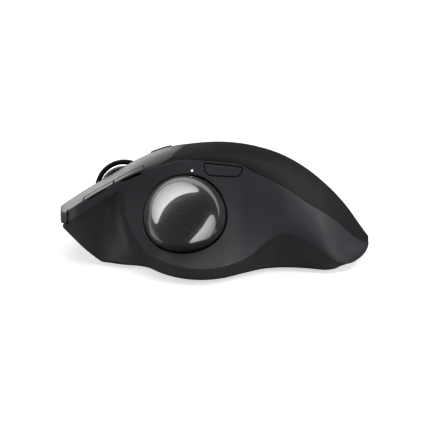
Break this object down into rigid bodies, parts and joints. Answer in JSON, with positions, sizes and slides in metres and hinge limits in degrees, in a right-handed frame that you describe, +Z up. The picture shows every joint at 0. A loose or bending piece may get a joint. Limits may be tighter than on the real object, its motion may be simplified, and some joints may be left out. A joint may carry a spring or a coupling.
{
  "type": "trackball mouse",
  "caption": "Thumb-operated ergonomic trackball mouse with a sloping body, main and side buttons, tilting scroll wheel, socketed ball and hinged base plate.",
  "frame": {"origin": "on the desk under the middle of the body, at the underside of the base plate's rubber pad", "axes": "-X is the front with the buttons, +X the palm end, -Y the thumb side with the ball, +Z up"},
  "size_m": [0.1325, 0.0981, 0.0498],
  "materials": {
    "shell_skirt": "fine-textured dark graphite moulding",
    "thumb_graphite": "soft-touch graphite",
    "palm_rubber": "soft-touch rubberised black",
    "key_satin": "satin grey paint",
    "gloss_black": "gloss black",
    "ball_pearl": "pearlescent grey with fine metallic flecks under clear gloss",
    "wheel_rubber": "matte black",
    "bright_steel": "machined bright",
    "plate_steel": "brushed",
    "magnet": "nickel plated",
    "bearing_ceramic": "polished",
    "inner_black": "moulded black",
    "inner_nylon": "moulded dark grey",
    "board_green": "solder mask",
    "clear_lens": "polished clear",
    "led_white": "frosted light pipe",
    "cell_foil": "satin foil"
  },
  "bodies": {
    "mouse_body": {"lower_shell": "shell_skirt", "thumb_panel": "thumb_graphite", "palm_cover": "palm_rubber", "scroll_bezel": "gloss_black", "ball_cup": "inner_black", "ball_bearing_1": "bearing_ceramic", "ball_bearing_2": "bearing_ceramic", "ball_bearing_3": "bearing_ceramic", "sensor_lens": "clear_lens", "ball_sensor": "inner_black", "sensor_board": "board_green", "main_board": "board_green", "inner_frame": "inner_nylon", "left_click_switch": "inner_black", "right_click_switch": "inner_black", "mode_switch": "inner_black", "forward_switch": "inner_black", "back_switch": "inner_black", "wheel_press_switch": "inner_black", "thumb_board": "board_green", "precision_switch": "inner_black", "status_led": "led_white", "charging_port": "bright_steel", "battery": "cell_foil", "battery_lead": "wheel_rubber", "plate_hinge_bracket": "inner_nylon", "plate_magnet_1": "magnet", "plate_magnet_2": "magnet", "board_screw_1": "bright_steel", "board_screw_2": "bright_steel", "board_screw_3": "bright_steel", "board_screw_4": "bright_steel", "frame_screw_1": "bright_steel", "frame_screw_2": "bright_steel", "frame_screw_3": "bright_steel", "frame_screw_4": "bright_steel"},
    "left_button": {"left_button": "key_satin"},
    "right_button": {"right_button": "key_satin"},
    "forward_button": {"forward_button": "key_satin"},
    "back_button": {"back_button": "key_satin"},
    "mode_button": {"mode_button": "gloss_black"},
    "precision_button": {"precision_button": "thumb_graphite"},
    "trackball": {"trackball": "ball_pearl"},
    "wheel_frame": {"wheel_lift_frame": "inner_nylon"},
    "wheel_carrier": {"wheel_cradle": "inner_nylon", "wheel_encoder": "inner_black"},
    "scroll_wheel": {"wheel_tyre": "wheel_rubber", "wheel_rim": "bright_steel", "wheel_axle": "bright_steel"},
    "power_switch": {"power_switch": "inner_black"},
    "tilt_plate": {"tilt_plate": "plate_steel", "plate_pad": "wheel_rubber", "plate_hinge_pin": "bright_steel"}
  },
  "joints": [
    {"name": "ball_roll", "type": "hinge", "parent": "mouse_body", "child": "trackball", "pos_m": [-0.0125, -0.0286, 0.0243], "axis": [1, 0, 0], "continuous": true},
    {"name": "left_click", "type": "hinge", "parent": "mouse_body", "child": "left_button", "pos_m": [-0.019, -0.008, 0.046], "axis": [0, -1, 0], "range_deg": [0, 0.6], "stiffness_Nm_per_rad": 2},
    {"name": "right_click", "type": "hinge", "parent": "mouse_body", "child": "right_button", "pos_m": [-0.019, 0.024, 0.042], "axis": [0, -1, 0], "range_deg": [0, 0.6], "stiffness_Nm_per_rad": 2},
    {"name": "forward_press", "type": "slide", "parent": "mouse_body", "child": "forward_button", "axis": [0, 0, -1], "range_m": [0, 0.0004], "stiffness_N_per_m": 800},
    {"name": "back_press", "type": "slide", "parent": "mouse_body", "child": "back_button", "axis": [0, 0, -1], "range_m": [0, 0.0004], "stiffness_N_per_m": 800},
    {"name": "mode_press", "type": "slide", "parent": "mouse_body", "child": "mode_button", "axis": [0, -0.2588, -0.9659], "range_m": [0, 0.0005], "stiffness_N_per_m": 800},
    {"name": "precision_press", "type": "slide", "parent": "mouse_body", "child": "precision_button", "axis": [-0.0751, 0.9098, -0.4083], "range_m": [0, 0.0004], "stiffness_N_per_m": 800},
    {"name": "wheel_press", "type": "slide", "parent": "mouse_body", "child": "wheel_frame", "axis": [0, -0.2588, -0.9659], "range_m": [0, 0.0008], "stiffness_N_per_m": 900},
    {"name": "wheel_tilt", "type": "hinge", "parent": "wheel_frame", "child": "wheel_carrier", "pos_m": [-0.039, 0.00158, 0.01446], "axis": [1, 0, 0], "range_deg": [-2.5, 2.5], "stiffness_Nm_per_rad": 0.5},
    {"name": "wheel_spin", "type": "hinge", "parent": "wheel_carrier", "child": "scroll_wheel", "pos_m": [-0.039, 0.0051, 0.0276], "axis": [0, 0.9659, -0.2588], "continuous": true},
    {"name": "power_slide", "type": "slide", "parent": "mouse_body", "child": "power_switch", "axis": [1, 0, 0], "range_m": [0, 0.003]},
    {"name": "plate_tilt", "type": "hinge", "parent": "mouse_body", "child": "tilt_plate", "pos_m": [0.01, 0.0346, 0.002], "axis": [1, 0, 0], "range_deg": [0, 20]}
  ]
}
